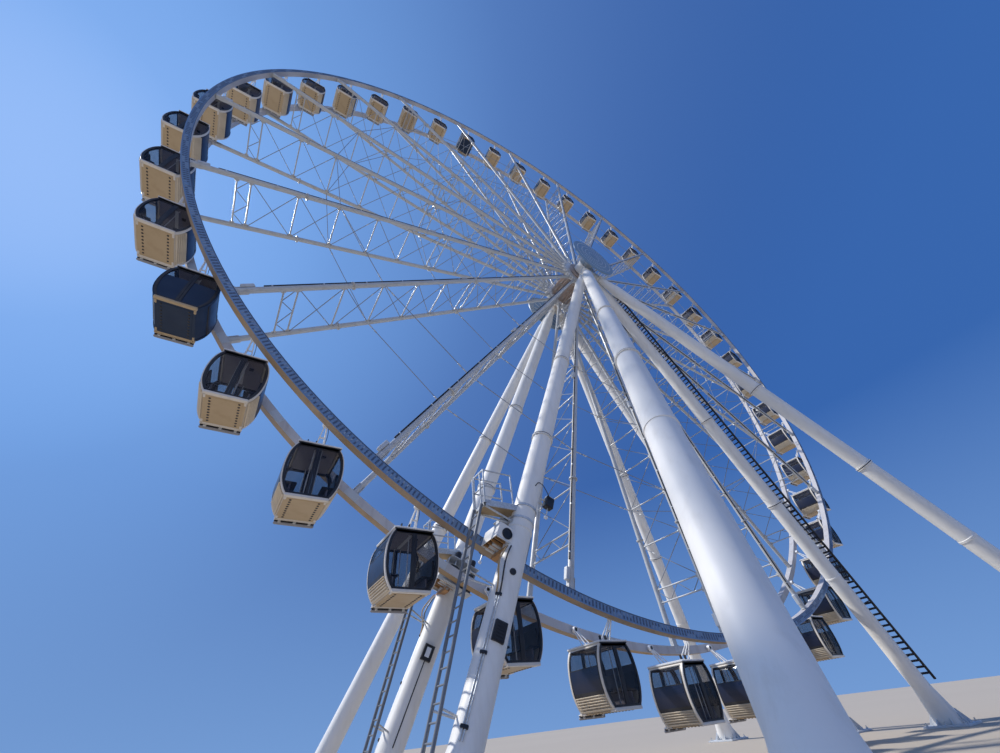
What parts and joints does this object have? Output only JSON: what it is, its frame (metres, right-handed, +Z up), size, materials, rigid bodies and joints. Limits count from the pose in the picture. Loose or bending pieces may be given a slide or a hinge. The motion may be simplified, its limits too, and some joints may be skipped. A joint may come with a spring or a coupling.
{
  "type": "observation wheel, 1:2 scale model",
  "caption": "Large observation wheel: two rims on trussed spokes, level hanging cabins with glazed ends, carried by raking tubular legs.",
  "frame": {"origin": "on the ground straight below the hub, at the middle of the model's footprint", "axes": "+X along the wheel's plane, +Y along the axle towards the back, +Z up"},
  "size_m": [25.6496, 10.15, 26.6488],
  "materials": {
    "white_paint": "satin white paint on steel tube",
    "grey_paint": "grey machine paint",
    "galvanised_steel": "galvanised walkway steel",
    "cabin_cream": "cream gel coat on moulded shell",
    "cabin_navy": "dark blue gel coat on moulded shell",
    "cabin_glass": "dark tinted glazing",
    "black_trim": "black window gasket and trim",
    "bumper_grey": "grey moulded bumper bar",
    "lamp": "clear lamp lens"
  },
  "bodies": {
    "stand": {"leg_front_inner_left": "white_paint", "leg_front_inner_right": "white_paint", "leg_front_outer_left": "white_paint", "leg_front_outer_right": "white_paint", "leg_back_inner_left": "white_paint", "leg_back_inner_right": "white_paint", "leg_back_outer_left": "white_paint", "leg_back_outer_right": "white_paint", "bearing_head_front": "white_paint", "bearing_head_back": "white_paint", "drive_unit_front": "grey_paint", "drive_unit_back": "grey_paint", "service_platform_front": "galvanised_steel", "service_platform_back": "galvanised_steel"},
    "wheel": {"rim_front": "white_paint", "rim_back": "white_paint", "spokes": "white_paint", "hub": "white_paint"},
    "cabin_01": {"cabin_01": "cabin_cream"},
    "cabin_02": {"cabin_02": "cabin_cream"},
    "cabin_03": {"cabin_03": "cabin_cream"},
    "cabin_04": {"cabin_04": "cabin_cream"},
    "cabin_05": {"cabin_05": "cabin_cream"},
    "cabin_06": {"cabin_06": "cabin_cream"},
    "cabin_07": {"cabin_07": "cabin_cream"},
    "cabin_08": {"cabin_08": "cabin_cream"},
    "cabin_09": {"cabin_09": "cabin_cream"},
    "cabin_10": {"cabin_10": "cabin_cream"},
    "cabin_11": {"cabin_11": "cabin_cream"},
    "cabin_12": {"cabin_12": "cabin_cream"},
    "cabin_13": {"cabin_13": "cabin_cream"},
    "cabin_14": {"cabin_14": "cabin_cream"},
    "cabin_15": {"cabin_15": "cabin_cream"},
    "cabin_16": {"cabin_16": "cabin_cream"},
    "cabin_17": {"cabin_17": "cabin_cream"},
    "cabin_18": {"cabin_18": "cabin_cream"},
    "cabin_19": {"cabin_19": "cabin_cream"},
    "cabin_20": {"cabin_20": "cabin_cream"},
    "cabin_21": {"cabin_21": "cabin_cream"},
    "cabin_22": {"cabin_22": "cabin_cream"},
    "cabin_23": {"cabin_23": "cabin_cream"},
    "cabin_24": {"cabin_24": "cabin_cream"},
    "cabin_25": {"cabin_25": "cabin_cream"},
    "cabin_26": {"cabin_26": "cabin_cream"},
    "cabin_27": {"cabin_27": "cabin_cream"},
    "cabin_28": {"cabin_28": "cabin_cream"},
    "cabin_29": {"cabin_29": "cabin_navy"},
    "cabin_30": {"cabin_30": "cabin_cream"},
    "cabin_31": {"cabin_31": "cabin_cream"},
    "cabin_32": {"cabin_32": "cabin_cream"},
    "cabin_33": {"cabin_33": "cabin_cream"},
    "cabin_34": {"cabin_34": "cabin_cream"},
    "cabin_35": {"cabin_35": "cabin_cream"},
    "cabin_36": {"cabin_36": "cabin_cream"},
    "cabin_37": {"cabin_37": "cabin_cream"},
    "cabin_38": {"cabin_38": "cabin_cream"},
    "cabin_39": {"cabin_39": "cabin_cream"},
    "cabin_40": {"cabin_40": "cabin_cream"},
    "cabin_41": {"cabin_41": "cabin_navy"},
    "cabin_42": {"cabin_42": "cabin_cream"}
  },
  "joints": [
    {"name": "wheel_spin", "type": "hinge", "parent": "stand", "child": "wheel", "pos_m": [0, 0, 14.15], "axis": [0, 1, 0], "continuous": true},
    {"name": "cabin_01_pivot", "type": "hinge", "parent": "wheel", "child": "cabin_01", "pos_m": [-0.85443, 0, 26.55561], "axis": [0, 1, 0], "continuous": true},
    {"name": "cabin_02_pivot", "type": "hinge", "parent": "wheel", "child": "cabin_02", "pos_m": [1.00407, 0, 26.5444], "axis": [0, 1, 0], "continuous": true},
    {"name": "cabin_03_pivot", "type": "hinge", "parent": "wheel", "child": "cabin_03", "pos_m": [2.84015, 0, 26.25631], "axis": [0, 1, 0], "continuous": true},
    {"name": "cabin_04_pivot", "type": "hinge", "parent": "wheel", "child": "cabin_04", "pos_m": [4.61278, 0, 25.69779], "axis": [0, 1, 0], "continuous": true},
    {"name": "cabin_05_pivot", "type": "hinge", "parent": "wheel", "child": "cabin_05", "pos_m": [6.28237, 0, 24.88131], "axis": [0, 1, 0], "continuous": true},
    {"name": "cabin_06_pivot", "type": "hinge", "parent": "wheel", "child": "cabin_06", "pos_m": [7.81162, 0, 23.82512], "axis": [0, 1, 0], "continuous": true},
    {"name": "cabin_07_pivot", "type": "hinge", "parent": "wheel", "child": "cabin_07", "pos_m": [9.16637, 0, 22.55279], "axis": [0, 1, 0], "continuous": true},
    {"name": "cabin_08_pivot", "type": "hinge", "parent": "wheel", "child": "cabin_08", "pos_m": [10.31636, 0, 21.09276], "axis": [0, 1, 0], "continuous": true},
    {"name": "cabin_09_pivot", "type": "hinge", "parent": "wheel", "child": "cabin_09", "pos_m": [11.2359, 0, 19.47765], "axis": [0, 1, 0], "continuous": true},
    {"name": "cabin_10_pivot", "type": "hinge", "parent": "wheel", "child": "cabin_10", "pos_m": [11.90445, 0, 17.74352], "axis": [0, 1, 0], "continuous": true},
    {"name": "cabin_11_pivot", "type": "hinge", "parent": "wheel", "child": "cabin_11", "pos_m": [12.30707, 0, 15.92911], "axis": [0, 1, 0], "continuous": true},
    {"name": "cabin_12_pivot", "type": "hinge", "parent": "wheel", "child": "cabin_12", "pos_m": [12.43477, 0, 14.07497], "axis": [0, 1, 0], "continuous": true},
    {"name": "cabin_13_pivot", "type": "hinge", "parent": "wheel", "child": "cabin_13", "pos_m": [12.2847, 0, 12.2225], "axis": [0, 1, 0], "continuous": true},
    {"name": "cabin_14_pivot", "type": "hinge", "parent": "wheel", "child": "cabin_14", "pos_m": [11.86022, 0, 10.41309], "axis": [0, 1, 0], "continuous": true},
    {"name": "cabin_15_pivot", "type": "hinge", "parent": "wheel", "child": "cabin_15", "pos_m": [11.17079, 0, 8.68715], "axis": [0, 1, 0], "continuous": true},
    {"name": "cabin_16_pivot", "type": "hinge", "parent": "wheel", "child": "cabin_16", "pos_m": [10.23183, 0, 7.08325], "axis": [0, 1, 0], "continuous": true},
    {"name": "cabin_17_pivot", "type": "hinge", "parent": "wheel", "child": "cabin_17", "pos_m": [9.0643, 0, 5.6372], "axis": [0, 1, 0], "continuous": true},
    {"name": "cabin_18_pivot", "type": "hinge", "parent": "wheel", "child": "cabin_18", "pos_m": [7.69429, 0, 4.38132], "axis": [0, 1, 0], "continuous": true},
    {"name": "cabin_19_pivot", "type": "hinge", "parent": "wheel", "child": "cabin_19", "pos_m": [6.15241, 0, 3.34365], "axis": [0, 1, 0], "continuous": true},
    {"name": "cabin_20_pivot", "type": "hinge", "parent": "wheel", "child": "cabin_20", "pos_m": [4.47309, 0, 2.54738], "axis": [0, 1, 0], "continuous": true},
    {"name": "cabin_21_pivot", "type": "hinge", "parent": "wheel", "child": "cabin_21", "pos_m": [2.69385, 0, 2.0103], "axis": [0, 1, 0], "continuous": true},
    {"name": "cabin_22_pivot", "type": "hinge", "parent": "wheel", "child": "cabin_22", "pos_m": [0.85443, 0, 1.74439], "axis": [0, 1, 0], "continuous": true},
    {"name": "cabin_23_pivot", "type": "hinge", "parent": "wheel", "child": "cabin_23", "pos_m": [-1.00407, 0, 1.7556], "axis": [0, 1, 0], "continuous": true},
    {"name": "cabin_24_pivot", "type": "hinge", "parent": "wheel", "child": "cabin_24", "pos_m": [-2.84015, 0, 2.04369], "axis": [0, 1, 0], "continuous": true},
    {"name": "cabin_25_pivot", "type": "hinge", "parent": "wheel", "child": "cabin_25", "pos_m": [-4.61278, 0, 2.60221], "axis": [0, 1, 0], "continuous": true},
    {"name": "cabin_26_pivot", "type": "hinge", "parent": "wheel", "child": "cabin_26", "pos_m": [-6.28237, 0, 3.41869], "axis": [0, 1, 0], "continuous": true},
    {"name": "cabin_27_pivot", "type": "hinge", "parent": "wheel", "child": "cabin_27", "pos_m": [-7.81162, 0, 4.47488], "axis": [0, 1, 0], "continuous": true},
    {"name": "cabin_28_pivot", "type": "hinge", "parent": "wheel", "child": "cabin_28", "pos_m": [-9.16637, 0, 5.74721], "axis": [0, 1, 0], "continuous": true},
    {"name": "cabin_29_pivot", "type": "hinge", "parent": "wheel", "child": "cabin_29", "pos_m": [-10.31636, 0, 7.20724], "axis": [0, 1, 0], "continuous": true},
    {"name": "cabin_30_pivot", "type": "hinge", "parent": "wheel", "child": "cabin_30", "pos_m": [-11.2359, 0, 8.82235], "axis": [0, 1, 0], "continuous": true},
    {"name": "cabin_31_pivot", "type": "hinge", "parent": "wheel", "child": "cabin_31", "pos_m": [-11.90445, 0, 10.55648], "axis": [0, 1, 0], "continuous": true},
    {"name": "cabin_32_pivot", "type": "hinge", "parent": "wheel", "child": "cabin_32", "pos_m": [-12.30707, 0, 12.37089], "axis": [0, 1, 0], "continuous": true},
    {"name": "cabin_33_pivot", "type": "hinge", "parent": "wheel", "child": "cabin_33", "pos_m": [-12.43477, 0, 14.22503], "axis": [0, 1, 0], "continuous": true},
    {"name": "cabin_34_pivot", "type": "hinge", "parent": "wheel", "child": "cabin_34", "pos_m": [-12.2847, 0, 16.0775], "axis": [0, 1, 0], "continuous": true},
    {"name": "cabin_35_pivot", "type": "hinge", "parent": "wheel", "child": "cabin_35", "pos_m": [-11.86022, 0, 17.88691], "axis": [0, 1, 0], "continuous": true},
    {"name": "cabin_36_pivot", "type": "hinge", "parent": "wheel", "child": "cabin_36", "pos_m": [-11.17079, 0, 19.61285], "axis": [0, 1, 0], "continuous": true},
    {"name": "cabin_37_pivot", "type": "hinge", "parent": "wheel", "child": "cabin_37", "pos_m": [-10.23183, 0, 21.21675], "axis": [0, 1, 0], "continuous": true},
    {"name": "cabin_38_pivot", "type": "hinge", "parent": "wheel", "child": "cabin_38", "pos_m": [-9.0643, 0, 22.6628], "axis": [0, 1, 0], "continuous": true},
    {"name": "cabin_39_pivot", "type": "hinge", "parent": "wheel", "child": "cabin_39", "pos_m": [-7.69429, 0, 23.91868], "axis": [0, 1, 0], "continuous": true},
    {"name": "cabin_40_pivot", "type": "hinge", "parent": "wheel", "child": "cabin_40", "pos_m": [-6.15241, 0, 24.95635], "axis": [0, 1, 0], "continuous": true},
    {"name": "cabin_41_pivot", "type": "hinge", "parent": "wheel", "child": "cabin_41", "pos_m": [-4.47309, 0, 25.75262], "axis": [0, 1, 0], "continuous": true},
    {"name": "cabin_42_pivot", "type": "hinge", "parent": "wheel", "child": "cabin_42", "pos_m": [-2.69385, 0, 26.2897], "axis": [0, 1, 0], "continuous": true}
  ],
  "couplings": [
    {"joint": "cabin_01_pivot", "follows": "wheel_spin", "ratio": -1},
    {"joint": "cabin_02_pivot", "follows": "wheel_spin", "ratio": -1},
    {"joint": "cabin_03_pivot", "follows": "wheel_spin", "ratio": -1},
    {"joint": "cabin_04_pivot", "follows": "wheel_spin", "ratio": -1},
    {"joint": "cabin_05_pivot", "follows": "wheel_spin", "ratio": -1},
    {"joint": "cabin_06_pivot", "follows": "wheel_spin", "ratio": -1},
    {"joint": "cabin_07_pivot", "follows": "wheel_spin", "ratio": -1},
    {"joint": "cabin_08_pivot", "follows": "wheel_spin", "ratio": -1},
    {"joint": "cabin_09_pivot", "follows": "wheel_spin", "ratio": -1},
    {"joint": "cabin_10_pivot", "follows": "wheel_spin", "ratio": -1},
    {"joint": "cabin_11_pivot", "follows": "wheel_spin", "ratio": -1},
    {"joint": "cabin_12_pivot", "follows": "wheel_spin", "ratio": -1},
    {"joint": "cabin_13_pivot", "follows": "wheel_spin", "ratio": -1},
    {"joint": "cabin_14_pivot", "follows": "wheel_spin", "ratio": -1},
    {"joint": "cabin_15_pivot", "follows": "wheel_spin", "ratio": -1},
    {"joint": "cabin_16_pivot", "follows": "wheel_spin", "ratio": -1},
    {"joint": "cabin_17_pivot", "follows": "wheel_spin", "ratio": -1},
    {"joint": "cabin_18_pivot", "follows": "wheel_spin", "ratio": -1},
    {"joint": "cabin_19_pivot", "follows": "wheel_spin", "ratio": -1},
    {"joint": "cabin_20_pivot", "follows": "wheel_spin", "ratio": -1},
    {"joint": "cabin_21_pivot", "follows": "wheel_spin", "ratio": -1},
    {"joint": "cabin_22_pivot", "follows": "wheel_spin", "ratio": -1},
    {"joint": "cabin_23_pivot", "follows": "wheel_spin", "ratio": -1},
    {"joint": "cabin_24_pivot", "follows": "wheel_spin", "ratio": -1},
    {"joint": "cabin_25_pivot", "follows": "wheel_spin", "ratio": -1},
    {"joint": "cabin_26_pivot", "follows": "wheel_spin", "ratio": -1},
    {"joint": "cabin_27_pivot", "follows": "wheel_spin", "ratio": -1},
    {"joint": "cabin_28_pivot", "follows": "wheel_spin", "ratio": -1},
    {"joint": "cabin_29_pivot", "follows": "wheel_spin", "ratio": -1},
    {"joint": "cabin_30_pivot", "follows": "wheel_spin", "ratio": -1},
    {"joint": "cabin_31_pivot", "follows": "wheel_spin", "ratio": -1},
    {"joint": "cabin_32_pivot", "follows": "wheel_spin", "ratio": -1},
    {"joint": "cabin_33_pivot", "follows": "wheel_spin", "ratio": -1},
    {"joint": "cabin_34_pivot", "follows": "wheel_spin", "ratio": -1},
    {"joint": "cabin_35_pivot", "follows": "wheel_spin", "ratio": -1},
    {"joint": "cabin_36_pivot", "follows": "wheel_spin", "ratio": -1},
    {"joint": "cabin_37_pivot", "follows": "wheel_spin", "ratio": -1},
    {"joint": "cabin_38_pivot", "follows": "wheel_spin", "ratio": -1},
    {"joint": "cabin_39_pivot", "follows": "wheel_spin", "ratio": -1},
    {"joint": "cabin_40_pivot", "follows": "wheel_spin", "ratio": -1},
    {"joint": "cabin_41_pivot", "follows": "wheel_spin", "ratio": -1},
    {"joint": "cabin_42_pivot", "follows": "wheel_spin", "ratio": -1}
  ]
}
